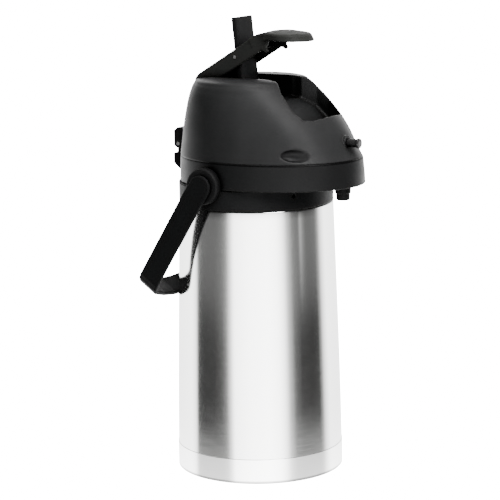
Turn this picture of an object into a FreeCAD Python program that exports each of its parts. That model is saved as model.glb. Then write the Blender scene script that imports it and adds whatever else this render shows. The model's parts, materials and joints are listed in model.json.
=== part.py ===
import FreeCAD, Part
import math
import os

# Lever-action thermal airpot, millimetres.
# Origin: centre of the resting face. +Z is up, the spout points to -Y, the lid hinge is at +Y.

V = FreeCAD.Vector
ORIGIN = V(0, 0, 0)
UP = V(0, 0, 1)
SIDE = V(1, 0, 0)
FORWARD = V(0, -1, 0)
FULL_TURN = 360.0

# --- driving dimensions ---
LOW_RADIUS = 80.2          # outer shell at its lower seam
MID_RADIUS = 78.4          # outer shell at MID_Z
TOP_RADIUS = 74.3          # outer shell under the collar
COLLAR_RADIUS = 74.4
STEEL = 0.8                # wall of the steel shells
SEAM_Z = 25.0              # top of the base band
MID_Z = 115.0
SHELL_TOP_Z = 262.0        # the collar starts here
COLLAR_TOP_Z = 282.5
HEAD_SEAM_Z = 308.0        # the lid parts from the shoulder here
DOME_TOP_Z = 382.0
LINER_RADIUS = 67.5        # outer radius of the inner bottle
NECK_RADIUS = 33.8         # outer radius of the bottle neck
NECK_TOP_Z = 282.0
PLASTIC = 2.5              # wall of the moulded covers
GAP = 0.3                  # clearance between bodies that move apart
RUNNING = 0.05             # radial clearance of pins in their bores

FOOT_IN = 64.0             # rubber ring the pot stands on
FOOT_OUT = 74.0
SWIVEL_RADIUS = 77.5
SWIVEL_PLATE = (2.0, 6.0)  # bottom and top of the swivel disc
BAND_BOTTOM_Z = 1.0

PIPE_Y = -20.0             # dip tube, in front of the centre line
PIPE_OUT = 4.5
PIPE_IN = 3.3
PIPE_Z = 293.0             # height of the pipe in the beak
SPOUT_Y = -95.2            # the nozzle hangs here
PIPE_BEND = 7.0
SEAL_Z = (279.4, 281.4)    # groove for the seal in the nozzle's socket
SEAL_RADIUS = 5.8
NOZZLE_END_Z = 268.8

HINGE_Y = 81.5             # lid hinge
HINGE_Z = 313.6
HINGE_PIN_RADIUS = 1.8
KNUCKLE_RADIUS = 4.2
KNUCKLE_HALF = 5.7         # half width of the shoulder's knuckle
LUG_HALF = 11.0            # half width over the lid's lugs

LEVER_Y = 48.0             # lever hinge
LEVER_Z = 373.0
LEVER_RAISE = 31.0         # degrees above the pressed position
LEVER_PIN_RADIUS = 2.0
LEVER_HALF = 20.0          # half width of the lever arm
LEVER_WALL = 2.6
LEVER_TOP = 11.2           # top face of the arm above the hinge, lever pressed
LEVER_BOTTOM = -4.3        # lower edge of the arm's webs
ARM_LENGTH = 88.0          # hinge to where the paddle slopes down
PADDLE_END = 118.0
LINK_ALONG = 48.0          # link pin, measured along the pressed arm
LINK_ABOVE = 4.7
LINK_LEAN = 6.0            # degrees, top of the link leans to the rear
LINK_HALF = 15.2
LINK_THICK = 5.5
LINK_BELOW = 47.0          # link pin to the centre of the link's round foot
LINK_ABOVE_PIN = 37.0
LINK_PIN_RADIUS = 1.6

CHANNEL_HALF = 21.6        # lever channel in the dome
CHANNEL_FLOOR_Z = 362.0
CAP_TOP_Z = 351.9
CAP_RADIUS = 35.0
BELLOWS_Z = (309.0, 346.9)
BELLOWS_OUT = 35.0
BELLOWS_IN = 28.0
BELLOWS_FOLDS = 5

BAIL_Y = 10.8              # handle pivot
BAIL_Z = 285.5
BAIL_HALF = 82.6           # inner face of the handle arms
BAIL_THICK = 4.0
BAIL_WIDTH = 22.4
BOSS_RADIUS = 17.0
TRUNNION_RADIUS = 6.0
TRUNNION_END = 70.0        # inner end of the handle's stub axles
BAIL_HANG = 35.3           # degrees behind straight down

BUTTON_Z = 323.3           # lid release button in the front of the dome
BUTTON_RADIUS = 4.0
BUTTON_END_Y = -114.0
BUTTON_HEAD = 3.2          # thickness of its wider head
BUTTON_INNER_Y = -91.2     # back of its guide

# Plan of the head at each height: (z, reach forward, reach to the rear, half width).
DOME_PLAN = (
    (HEAD_SEAM_Z, 108.8, 73.4, 73.9),
    (314.0, 105.2, 72.6, 73.1),
    (322.0, 100.9, 71.5, 72.1),
    (335.0, 93.7, 69.7, 70.3),
    (350.0, 82.2, 66.8, 67.4),
    (362.0, 70.3, 63.8, 64.5),
    (371.0, 59.5, 60.6, 61.4),
    (377.0, 51.5, 57.6, 58.4),
    (380.5, 44.5, 53.8, 54.6),
    (DOME_TOP_Z, 38.0, 48.0, 48.8),
)
SHOULDER_PLAN = (
    (COLLAR_TOP_Z, 111.6, 74.4, 75.0),
    (296.0, 110.7, 74.0, 74.5),
    (HEAD_SEAM_Z - GAP, 109.4, 73.5, 74.0),
)
NOSE_SHARE = 0.36          # how far the widest point moves forward with the nose


# --- helpers ---

def box(x0, x1, y0, y1, z0, z1):
    return Part.makeBox(x1 - x0, y1 - y0, z1 - z0, V(x0, y0, z0))


def rod(radius, start, direction, length):
    return Part.makeCylinder(radius, length, start, direction)


def cross_rod(radius, half, y, z):
    """Round bar across the pot, centred on the middle plane."""
    return rod(radius, V(-half, y, z), SIDE, 2 * half)


def ring(r_in, r_out, z0, z1, x=0.0, y=0.0):
    outer = rod(r_out, V(x, y, z0), UP, z1 - z0)
    return outer.cut(rod(r_in, V(x, y, z0 - 1), UP, z1 - z0 + 2))


def turned(points):
    """Closed outline of (radius, height) points turned about the Z axis."""
    wire = Part.makePolygon([V(r, 0, z) for r, z in points] + [V(points[0][0], 0, points[0][1])])
    return Part.Face(wire).revolve(ORIGIN, UP, FULL_TURN)


def side_plate(points, x0, x1):
    """Closed outline of (y, z) points with a width across the pot."""
    wire = Part.makePolygon([V(x0, y, z) for y, z in points] + [V(x0, points[0][0], points[0][1])])
    return Part.Face(wire).extrude(V(x1 - x0, 0, 0))


def joined(first, *others):
    shape = first
    for other in others:
        shape = shape.fuse(other)
    return shape.removeSplitter()


def screws(places, radius, length, head_radius, head, direction):
    """Identical pan-head screws; each place is the underside of the head."""
    made = []
    for place in places:
        shank = rod(radius, place, direction, length)
        cap = rod(head_radius, place - direction * head, direction, head)
        drive = rod(head_radius * 0.4, place - direction * head, direction, head * 0.6)
        made.append(shank.fuse(cap).cut(drive).removeSplitter())
    return Part.makeCompound(made)


def screw_holes(shape, places, radius, length, direction):
    for place in places:
        shape = shape.cut(rod(radius, place - direction, direction, length + 2))
    return shape


def around(radius, count, z, first=0.0):
    """Places evenly spaced on a circle."""
    step = FULL_TURN / count
    angles = [math.radians(first + step * i) for i in range(count)]
    return [V(radius * math.sin(a), -radius * math.cos(a), z) for a in angles]


def half_oval(half_width, centre, reach, z):
    """Half ellipse across the pot; a negative reach bulges forward."""
    first = math.copysign(half_width, reach)
    arc = Part.ArcOfCircle(Part.Circle(ORIGIN, UP, 1.0), 0.0, math.pi).toBSpline()
    for number, pole in enumerate(arc.getPoles(), start=1):
        arc.setPole(number, V(first * pole.x, centre + reach * pole.y, z), arc.getWeight(number))
    return arc.toShape()


def egg(z, forward, rear, half_width):
    """Plan outline: two half ellipses that share their widest line."""
    centre = -max(0.0, NOSE_SHARE * (forward - rear))
    back = half_oval(half_width, centre, rear - centre, z)
    front = half_oval(half_width, centre, -(forward + centre), z)
    return Part.Wire([back, front])


def egg_body(plan, inset=0.0):
    sections = [egg(z, f - inset, r - inset, w - inset) for z, f, r, w in plan]
    return Part.makeLoft(sections, True, False)


def plan_at(plan, z):
    """Plan row at any height, straight between the rows given and constant past them."""
    if z <= plan[0][0]:
        return (z,) + tuple(plan[0][1:])
    for low, high in zip(plan, plan[1:]):
        if z <= high[0]:
            share = (z - low[0]) / (high[0] - low[0])
            return (z,) + tuple(a + share * (b - a) for a, b in zip(low[1:], high[1:]))
    return (z,) + tuple(plan[-1][1:])


def egg_core(plan, inset, floor_z, roof_z):
    """The same body drawn inwards between a floor and a roof."""
    between = [row for row in plan if floor_z < row[0] < roof_z]
    return egg_body([plan_at(plan, floor_z)] + between + [plan_at(plan, roof_z)], inset)


# --- vessel ---

def shell_outline(offset):
    """Meridian arc of the outer shell, moved inwards by offset."""
    low = V(LOW_RADIUS - offset, 0, SEAM_Z)
    mid = V(MID_RADIUS - offset, 0, MID_Z)
    top = V(TOP_RADIUS - offset, 0, SHELL_TOP_Z - 2)
    return Part.Arc(low, mid, top).toShape()


def outer_shell():
    outside = shell_outline(0.0)
    inside = shell_outline(STEEL)
    foot = Part.LineSegment(V(LOW_RADIUS, 0, SEAM_Z), V(LOW_RADIUS - STEEL, 0, SEAM_Z)).toShape()
    cone_top = V(NECK_RADIUS + 8, 0, NECK_TOP_Z - 8)
    neck_low = V(NECK_RADIUS, 0, NECK_TOP_Z - 5)
    neck_top = V(NECK_RADIUS, 0, NECK_TOP_Z)
    upper = [V(TOP_RADIUS, 0, SHELL_TOP_Z - 2), V(TOP_RADIUS - 3.6, 0, SHELL_TOP_Z),
             V(TOP_RADIUS - 8, 0, SHELL_TOP_Z + 8), cone_top, neck_low, neck_top]
    lower = [neck_top - V(STEEL, 0, 0), neck_low - V(STEEL, 0, 0.6), cone_top - V(0.4, 0, STEEL + 0.4),
             V(TOP_RADIUS - 8.7, 0, SHELL_TOP_Z + 7.6), V(TOP_RADIUS - 4.2, 0, SHELL_TOP_Z - 0.5),
             V(TOP_RADIUS - STEEL, 0, SHELL_TOP_Z - 2)]
    crown = Part.makePolygon(upper + lower)
    wire = Part.Wire(Part.__sortEdges__([outside, inside, foot] + crown.Edges))
    return Part.Face(wire).revolve(ORIGIN, UP, FULL_TURN)


def bottle_bottom():
    rim = LOW_RADIUS - STEEL - 0.25
    return turned([(0, 20.0), (60, 20.0), (rim - 6, 24.0), (rim, 26.0), (rim, 32.0), (rim - STEEL, 32.0),
                   (rim - STEEL, 27.0), (rim - 6.5, 25.0), (59.5, 21.0), (0, 21.0)])


def inner_liner():
    r = LINER_RADIUS
    t = 1.0
    neck = NECK_RADIUS - STEEL
    top = SHELL_TOP_Z - 12
    return turned([(0, 29.0), (r - 14, 29.0), (r - 4, 32.0), (r, 39.0), (r, top), (r - 8, top + 10),
                   (neck + 4, top + 20), (neck, top + 25), (neck, NECK_TOP_Z), (neck - t, NECK_TOP_Z),
                   (neck - t, top + 24), (neck + 3, top + 19), (r - 8.6, top + 9), (r - t, top - 0.5),
                   (r - t, 39.4), (r - 4.6, 33.0), (r - 14.3, 30.0), (0, 30.0)])


def base_band():
    r = LOW_RADIUS + 0.4
    return turned([(r - 2.2, BAND_BOTTOM_Z), (r - 0.8, BAND_BOTTOM_Z), (r, BAND_BOTTOM_Z + 0.8),
                   (r, SEAM_Z - 0.5), (r - 0.3, SEAM_Z - 0.2), (r - 1.6, SEAM_Z - 0.2), (r - 1.2, SEAM_Z - 1.2),
                   (r - 1.2, BAND_BOTTOM_Z + 2.2), (r - 2.2, BAND_BOTTOM_Z + 1.2)])


def bottom_plate():
    rim = LOW_RADIUS - 0.8
    plate = turned([(4.0, 10.4), (16.0, 10.4), (20.0, 8.0), (rim - 1.2, 8.0), (rim - 0.05, 9.2), (rim, 18.0),
                    (rim - 2.5, 18.0), (rim - 2.5, 10.6), (21.0, 10.6), (12.0, 13.0), (12.0, 19.0), (4.0, 19.0)])
    groove = ring(50.0, 58.0, 7.0, 9.2)
    return plate.cut(groove)


def glide_ring():
    return ring(50.05, 57.95, SWIVEL_PLATE[1] + GAP, 9.2)


def swivel_screw():
    return turned([(1.6, 2.6), (8.0, 2.6), (8.0, 4.6), (4.0, 4.6), (4.0, 18.0), (0, 18.0), (0, 3.6), (1.6, 3.6)])


def swivel_washer():
    return ring(4.0, 8.8, 4.6, 5.2)


def trunnion_room(shape):
    """Bore and inner pocket for the handle's stub axles, on both sides."""
    for side in (-1, 1):
        out = V(side, 0, 0)
        pocket_end = TRUNNION_END + GAP
        shape = shape.cut(rod(TRUNNION_RADIUS + 3.0, V(side * 62.0, BAIL_Y, BAIL_Z), out, pocket_end - 62.0))
        shape = shape.cut(rod(TRUNNION_RADIUS + 0.4, V(side * 62.0, BAIL_Y, BAIL_Z), out, 30.0))
    return shape


def collar():
    r = COLLAR_RADIUS
    body = turned([(r - 2.4, SHELL_TOP_Z + 0.2), (r, SHELL_TOP_Z + 0.2), (r, COLLAR_TOP_Z), (43.0, COLLAR_TOP_Z),
                   (43.0, COLLAR_TOP_Z - 3), (r - 3.0, COLLAR_TOP_Z - 3), (r - 2.4, COLLAR_TOP_Z - 4)])
    vent = rod(1.5, V(-36.0, -60.0, 276.0), V(-36, -60, 0), 20.0)
    body = screw_holes(body, DECK_SCREWS, 1.6, 22, V(0, 0, -1)).cut(vent)
    return trunnion_room(body)


def pivot_boss(side):
    """Round boss on the flank that carries one handle pivot."""
    out = V(side, 0, 0)
    face = BAIL_HALF - 0.5
    boss = rod(BOSS_RADIUS, V(side * 66.0, BAIL_Y, BAIL_Z), out, face - 66.0)
    rim = [e for e in boss.Edges if abs(abs(e.BoundBox.Center.x) - face) < 0.01]
    boss = boss.makeFillet(1.5, rim)
    boss = boss.cut(egg_body(SHOULDER_PLAN)).cut(rod(COLLAR_RADIUS, V(0, 0, 250), UP, COLLAR_TOP_Z - 250))
    boss = boss.cut(rod(TRUNNION_RADIUS + 3.0, V(side * 62.0, BAIL_Y, BAIL_Z), out, TRUNNION_END + GAP - 62.0))
    return boss.cut(rod(TRUNNION_RADIUS + RUNNING, V(side * 62.0, BAIL_Y, BAIL_Z), out, 40))


def pivot_boss_left():
    return pivot_boss(-1)


def pivot_boss_right():
    return pivot_boss(1)


def shoulder():
    outside = egg_body(SHOULDER_PLAN)
    floor_z = COLLAR_TOP_Z + PLASTIC
    inside = egg_core(SHOULDER_PLAN, PLASTIC, floor_z, HEAD_SEAM_Z + 5)
    shape = outside.cut(inside).cut(rod(43.2, V(0, 0, COLLAR_TOP_Z - 1), UP, 10))
    shape = trunnion_room(shape)
    lower_lug = side_plate([(71.0, 288.8), (80.5, 288.8), (87.2, 294.5), (87.2, 304.5), (71.0, 304.5)],
                           -LUG_HALF, LUG_HALF).cut(inside)
    neck = side_plate([(77.3, 304.0), (85.7, 304.0), (85.7, HINGE_Z), (77.3, HINGE_Z)], -KNUCKLE_HALF, KNUCKLE_HALF)
    knuckle = cross_rod(KNUCKLE_RADIUS, KNUCKLE_HALF, HINGE_Y, HINGE_Z)
    shape = shape.fuse(lower_lug).fuse(neck).fuse(knuckle)
    shape = shape.cut(cross_rod(HINGE_PIN_RADIUS, 40.0, HINGE_Y, HINGE_Z))
    shape = shape.cut(rod(6.3, V(0, SPOUT_Y, COLLAR_TOP_Z - 2), UP, 8))
    catch = box(-9.0, 9.0, -99.6, -97.2, floor_z - 0.5, 303.0)
    catch = catch.cut(rod(PIPE_OUT + RUNNING, V(0, -70, PIPE_Z), FORWARD, 40))
    catch = catch.cut(rod(8.0, V(0, SPOUT_Y, 280), UP, PIPE_Z - 280))
    shape = shape.fuse(catch.common(outside))
    return screw_holes(shape, DECK_SCREWS, 1.6, 22, V(0, 0, -1)).removeSplitter()


DECK_Z = 300.0
DECK_SCREWS = around(56.0, 4, DECK_Z, 45.0)


def drip_deck():
    """Inner floor round the mouth, with posts that stand on the shoulder's floor."""
    plate = egg_core(SHOULDER_PLAN, PLASTIC + 0.1, DECK_Z - 2, DECK_Z).cut(ring_hole(43.0))
    nose = box(-30, 30, -130, -78, 290, 310)
    plate = plate.cut(nose)
    for place in DECK_SCREWS:
        foot = V(place.x, place.y, COLLAR_TOP_Z + PLASTIC)
        plate = plate.fuse(rod(4.0, foot, UP, DECK_Z - 1 - foot.z))
    return screw_holes(plate, DECK_SCREWS, 1.6, 22, V(0, 0, -1)).removeSplitter()


def ring_hole(radius):
    return rod(radius, V(0, 0, 270), UP, 60)


def mouth_ring():
    body = turned([(NECK_RADIUS, 277.5), (42.0, 277.5), (42.0, DECK_Z + 1), (31.0, DECK_Z + 1), (31.0, NECK_TOP_Z),
                   (NECK_RADIUS, NECK_TOP_Z)])
    return body.cut(rod(PIPE_OUT + RUNNING, V(0, -25, PIPE_Z), FORWARD, 30))


def mouth_gasket():
    return ring(32.0, 41.0, DECK_Z + 1, DECK_Z + 2.6)


def pipe_path(from_z, to_z):
    b = PIPE_BEND
    up_end = V(0, PIPE_Y, PIPE_Z - b)
    run_start = V(0, PIPE_Y - b, PIPE_Z)
    run_end = V(0, SPOUT_Y + b, PIPE_Z)
    down_start = V(0, SPOUT_Y, PIPE_Z - b)
    turn = b * (1 - math.sqrt(0.5))
    edges = [
        Part.LineSegment(V(0, PIPE_Y, from_z), up_end).toShape(),
        Part.Arc(up_end, V(0, PIPE_Y - turn, PIPE_Z - turn), run_start).toShape(),
        Part.LineSegment(run_start, run_end).toShape(),
        Part.Arc(run_end, V(0, SPOUT_Y + turn, PIPE_Z - turn), down_start).toShape(),
        Part.LineSegment(down_start, V(0, SPOUT_Y, to_z)).toShape(),
    ]
    return Part.Wire(edges)


def swept(path, radius):
    start = path.Edges[0].Vertexes[0].Point
    section = Part.Wire(Part.makeCircle(radius, start, UP))
    return path.makePipeShell([section], True, False)


def delivery_pipe():
    path = pipe_path(281.0, 278.0)
    return swept(path, PIPE_OUT).cut(swept(path, PIPE_IN))


def dip_tube():
    return ring(PIPE_IN, PIPE_OUT, 40.0, 281.0, 0, PIPE_Y)


def dip_tube_foot():
    body = ring(PIPE_OUT, PIPE_OUT + 1.6, 33.0, 46.0, 0, PIPE_Y)
    for turn in (0, 90):
        slot = box(-8, 8, PIPE_Y - 1.5, PIPE_Y + 1.5, 32, 38)
        slot.rotate(V(0, PIPE_Y, 0), UP, turn)
        body = body.cut(slot)
    return body


def pipe_sleeve():
    return ring(PIPE_OUT, PIPE_OUT + 1.8, 274.0, 285.0, 0, PIPE_Y)


def tip_valve_seat():
    return ring(2.0, PIPE_IN, 274.0, 276.0, 0, PIPE_Y)


def tip_valve_ball():
    return Part.makeSphere(2.6, V(0, PIPE_Y, 277.7))


def nozzle():
    """Short spout whose socket takes the end of the delivery pipe and a seal."""
    bore = PIPE_OUT + RUNNING
    low, high = SEAL_Z
    spigot = COLLAR_TOP_Z + PLASTIC
    body = turned([(bore, 278.0), (3.6, 277.0), (3.6, NOZZLE_END_Z), (5.8, NOZZLE_END_Z), (6.4, NOZZLE_END_Z + 1.0),
                   (6.6, 275.0), (7.5, 275.8), (7.7, COLLAR_TOP_Z), (6.25, COLLAR_TOP_Z), (6.25, spigot),
                   (bore, spigot), (bore, high), (SEAL_RADIUS, high), (SEAL_RADIUS, low), (bore, low)])
    body.translate(V(0, SPOUT_Y, 0))
    return body


def nozzle_seal():
    return ring(PIPE_OUT + RUNNING, SEAL_RADIUS - RUNNING, SEAL_Z[0] + RUNNING, SEAL_Z[1] - RUNNING, 0, SPOUT_Y)


def shoulder_screws():
    return screws(DECK_SCREWS, 1.6, 19.0, 3.2, 2.0, V(0, 0, -1))


def lid_hinge_pin():
    return cross_rod(HINGE_PIN_RADIUS, LUG_HALF + 0.3, HINGE_Y, HINGE_Z)


# --- swivel base ---

def swivel_base():
    z0, z1 = SWIVEL_PLATE
    r = SWIVEL_RADIUS
    disc = turned([(4.0 + RUNNING, 5.5), (9.4, 5.5), (9.4, z0), (FOOT_IN, z0), (FOOT_IN, 3.6), (FOOT_OUT, 3.6),
                   (FOOT_OUT, z0), (r - 0.8, z0), (r, z0 + 0.8), (r, z1 - 0.6), (r - 0.6, z1), (14.0, z1),
                   (13.0, 10.0), (4.0 + RUNNING, 10.0)])
    return disc


def foot_ring():
    return turned([(FOOT_IN, 0.6), (FOOT_IN + 0.6, 0), (FOOT_OUT - 0.6, 0), (FOOT_OUT, 0.6), (FOOT_OUT, 3.6),
                   (FOOT_IN, 3.6)])


# --- lid ---

def scoop_outline(grow):
    """Side outline of the hand scoop, front towards -Y."""
    return [(-34.0 + grow, 400), (-34.0 + grow, 362.0 - grow), (-48.0, 352.0 - grow), (-64.0 - grow * 0.4, 334.5 - grow),
            (-76.0 - grow, 333.5 - grow), (-83.5 - grow, 344.0), (-97.0, 368.0), (-97.0, 400)]


def scoop_tool(grow):
    """Rounded wedge that is narrow at the lever channel and wide at the lip."""
    slab = side_plate(scoop_outline(grow), -60, 60)
    plan = [(-CHANNEL_HALF, -28), (-24.0, -38), (-34.0, -50), (-37.5, -61), (-37.0, -67), (-34.5, -73),
            (-27.0, -78.5), (-14.0, -82.5), (0.0, -83.5)]
    mirrored = [(-x, y) for x, y in reversed(plan[:-1])]
    outline = []
    for x, y in plan + mirrored:
        reach = math.hypot(x, y + 55.0)
        outline.append(V(x + grow * x / reach, y + grow * (y + 55.0) / reach, 320))
    column = Part.Face(Part.makePolygon(outline + [outline[0]])).extrude(V(0, 0, 90))
    return slab.common(column)


def channel_tool(grow):
    return box(-CHANNEL_HALF - grow, CHANNEL_HALF + grow, -38 + grow, 56.2 + grow, CHANNEL_FLOOR_Z - grow, 400)


def grip_tool(side):
    """Shallow finger recess low on each flank."""
    recess = Part.makeSphere(1.0)
    matrix = FreeCAD.Matrix()
    matrix.scale(3.4, 15.0, 6.2)
    recess = recess.transformGeometry(matrix)
    recess.rotate(ORIGIN, UP, -side * 29.0)
    recess.translate(V(side * 52.9, -76.0, 316.3))
    return recess


def hinge_lugs(core):
    """Two lugs and the bridge over the shoulder's knuckle."""
    lug_outline = [(66.0, 309.5), (83.4, 309.5), (86.5, 311.4), (86.5, 326.5), (83.0, 329.5), (66.0, 329.5)]
    bridge_outline = [(66.0, 318.6), (86.5, 318.6), (86.5, 326.5), (83.0, 329.5), (66.0, 329.5)]
    lugs = side_plate(bridge_outline, -KNUCKLE_HALF - 1, KNUCKLE_HALF + 1)
    for side in (-1, 1):
        lugs = lugs.fuse(side_plate(lug_outline, side * (KNUCKLE_HALF + GAP), side * LUG_HALF))
    return lugs.cut(core)


def dome():
    outside = egg_body(DOME_PLAN)
    roof = DOME_TOP_Z - 3.0
    core = egg_core(DOME_PLAN, 3.0, HEAD_SEAM_Z - 1, roof)
    tub = channel_tool(PLASTIC).fuse(scoop_tool(PLASTIC))
    shape = outside.cut(core.cut(tub))
    shape = shape.cut(channel_tool(0.0)).cut(scoop_tool(0.0)).fuse(hinge_lugs(core))
    for side in (-1, 1):
        boss = rod(6.0, V(side * CHANNEL_HALF, LEVER_Y, LEVER_Z), V(side, 0, 0), 7.0).common(outside)
        shape = shape.fuse(boss).cut(grip_tool(side))
    shape = shape.cut(cross_rod(LEVER_PIN_RADIUS, CHANNEL_HALF + 7.0, LEVER_Y, LEVER_Z))
    shape = shape.cut(cross_rod(HINGE_PIN_RADIUS + RUNNING, LUG_HALF + 5, HINGE_Y, HINGE_Z))
    window = box(-LINK_HALF - 1, LINK_HALF + 1, -8.5, 14.0, CHANNEL_FLOOR_Z - 6, CHANNEL_FLOOR_Z + 1)
    button_guide = rod(6.5, V(0, BUTTON_INNER_Y, BUTTON_Z), FORWARD, 10.0)
    shape = shape.cut(window).fuse(button_guide)
    shape = shape.cut(rod(BUTTON_RADIUS + RUNNING, V(0, -80, BUTTON_Z), FORWARD, 40))
    post_space = egg_core(DOME_PLAN, 1.0, LID_PLATE_Z[1], roof + 1)
    for place in LID_SCREWS:
        post = rod(3.6, V(place.x, place.y, LID_PLATE_Z[1]), UP, 70.0).common(post_space)
        shape = shape.fuse(post.cut(tub))
    return screw_holes(shape, LID_SCREWS, 1.5, 16, UP).removeSplitter()


SCREW_HEAD = 1.8
LID_PLATE_Z = (303.2, 306.6)
LID_SCREWS = [V(side * 46.0, y, LID_PLATE_Z[0]) for side in (-1, 1) for y in (-34.0, 34.0)]


def lid_plate():
    z0, z1 = LID_PLATE_Z
    base = egg(z0, 83.5, 64.0, 66.0)
    plate = Part.Face(base).extrude(V(0, 0, z1 - z0))
    seat = ring(BELLOWS_IN - 2, BELLOWS_OUT + 4, z1, BELLOWS_Z[0])
    plate = plate.fuse(seat)
    plate = plate.cut(rod(7.0, V(0, 0, 300), UP, 20))
    plate = screw_holes(plate, LID_SCREWS, 1.5, 16, UP)
    for place in LID_SCREWS:
        plate = plate.cut(rod(3.1, place - UP, UP, 1.0 + SCREW_HEAD))
    return plate.removeSplitter()


def lid_screws():
    return screws([p + V(0, 0, SCREW_HEAD) for p in LID_SCREWS], 1.5, 10.0, 2.9, SCREW_HEAD, UP)


def air_valve_flap():
    return turned([(0, 306.6), (10.0, 306.6), (10.0, 307.4), (2.5, 307.8), (2.5, 309.5), (0, 309.5)])


def bellows_clamp():
    z = BELLOWS_Z[0]
    return turned([(BELLOWS_OUT + 0.6, z + 1.4), (BELLOWS_OUT + 4.0, z + 1.4), (BELLOWS_OUT + 4.0, z - 2.0),
                   (BELLOWS_OUT + 5.5, z - 2.0), (BELLOWS_OUT + 5.5, z + 3.4), (BELLOWS_OUT + 0.6, z + 3.4)])


def bellows():
    z0, z1 = BELLOWS_Z
    wall = 1.0
    pitch = (z1 - z0) / BELLOWS_FOLDS
    outer = [(BELLOWS_OUT + 3.6, z0), (BELLOWS_OUT + 3.6, z0 + 1.2), (BELLOWS_OUT, z0 + 1.2)]
    inner = [(BELLOWS_IN, z0)]
    for i in range(BELLOWS_FOLDS):
        low = z0 + pitch * i
        outer += [(BELLOWS_OUT, low + pitch * 0.3), (BELLOWS_IN + wall, low + pitch * 0.65)]
        inner += [(BELLOWS_OUT - 2 * wall, low + pitch * 0.15), (BELLOWS_OUT - 2 * wall, low + pitch * 0.25),
                  (BELLOWS_IN, low + pitch * 0.65)]
    outer += [(BELLOWS_OUT - 2, z1), (BELLOWS_IN, z1)]
    return turned(outer + list(reversed(inner)))


def return_spring():
    wire = 0.8
    z0 = LID_PLATE_Z[1] + wire
    height = BELLOWS_Z[1] - wire - z0
    radius = 15.0
    helix = Part.makeHelix(height / 5.0, height, radius)
    helix.translate(V(0, 0, z0))
    section = Part.Wire(Part.makeCircle(wire, V(radius, 0, z0), V(0, 1, 0)))
    return Part.Wire(helix.Edges).makePipeShell([section], True, True)


def lever_hinge_pin():
    return cross_rod(LEVER_PIN_RADIUS, CHANNEL_HALF + 6.5, LEVER_Y, LEVER_Z)


# --- pump cap ---

def bellows_cap():
    z = BELLOWS_Z[1]
    return turned([(0, z), (CAP_RADIUS - 1, z), (CAP_RADIUS, z + 0.8), (CAP_RADIUS - 0.6, z + 3.0),
                   (11.1, z + 3.0), (11.1, z + 1.6), (0, z + 1.6)])


def push_pad():
    return turned([(0, BELLOWS_Z[1] + 1.6), (11.0, BELLOWS_Z[1] + 1.6), (11.0, CAP_TOP_Z - 0.6),
                   (10.4, CAP_TOP_Z), (0, CAP_TOP_Z)])


# --- lever and link ---

def raised(shape):
    """Turn a shape drawn with the lever pressed up to its rest position."""
    moved = shape.copy()
    moved.rotate(V(0, LEVER_Y, LEVER_Z), SIDE, -LEVER_RAISE)
    return moved


def along(distance, height):
    """Point on the pressed lever, measured forward and up from its hinge."""
    return (LEVER_Y - distance, LEVER_Z + height)


PADDLE_TOP = ((ARM_LENGTH, 9.4), (96.5, 5.2), (104.5, -0.6), (112.0, -6.6), (PADDLE_END, -12.2))
PADDLE_LIP = 8.0           # depth of the rim round the paddle
PADDLE_HALF = 23.5


def paddle_half(distance):
    """Half width of the paddle, rounded to a duck-bill at its front edge."""
    start = 80.0
    widest = 98.0
    if distance < widest:
        share = (distance - start) / (widest - start)
        return LEVER_HALF + (PADDLE_HALF - LEVER_HALF) * math.sin(share * math.pi / 2)
    share = min(1.0, (distance - widest) / (PADDLE_END - widest))
    return PADDLE_HALF * math.sqrt(1 - share ** 2)


def paddle_column(inset):
    """Upright column over the paddle's plan."""
    start = 81.0
    steps = 12
    right = []
    for step in range(steps):
        distance = start + (PADDLE_END - start) * math.sin(math.pi / 2 * step / steps)
        right.append((paddle_half(distance) - inset, LEVER_Y - min(distance, PADDLE_END - inset)))
    tip = [(0.0, LEVER_Y - PADDLE_END + inset)]
    left = [(-x, y) for x, y in reversed(right)]
    corners = [V(x, y, 300) for x, y in right + tip + left]
    return Part.Face(Part.makePolygon(corners + [corners[0]])).extrude(V(0, 0, 120))


def paddle():
    """Paddle plate with a rim that hangs down all round."""
    top = [along(80.0, LEVER_TOP)] + [along(d, h) for d, h in PADDLE_TOP] + [along(PADDLE_END + 2.5, -14.6)]
    under = [(y, z - LEVER_WALL) for y, z in reversed(top)]
    skirt = [(y, z - PADDLE_LIP) for y, z in reversed(top)]
    plate = side_plate(top + under, -40, 40).common(paddle_column(0.0))
    rim = side_plate(top + skirt, -40, 40).common(paddle_column(0.0).cut(paddle_column(LEVER_WALL)))
    rear_cut = box(-LEVER_HALF, LEVER_HALF, LEVER_Y - ARM_LENGTH, LEVER_Y - 70.0, 300,
                   LEVER_Z + LEVER_TOP - LEVER_WALL)
    return plate.fuse(rim.cut(rear_cut))


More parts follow.
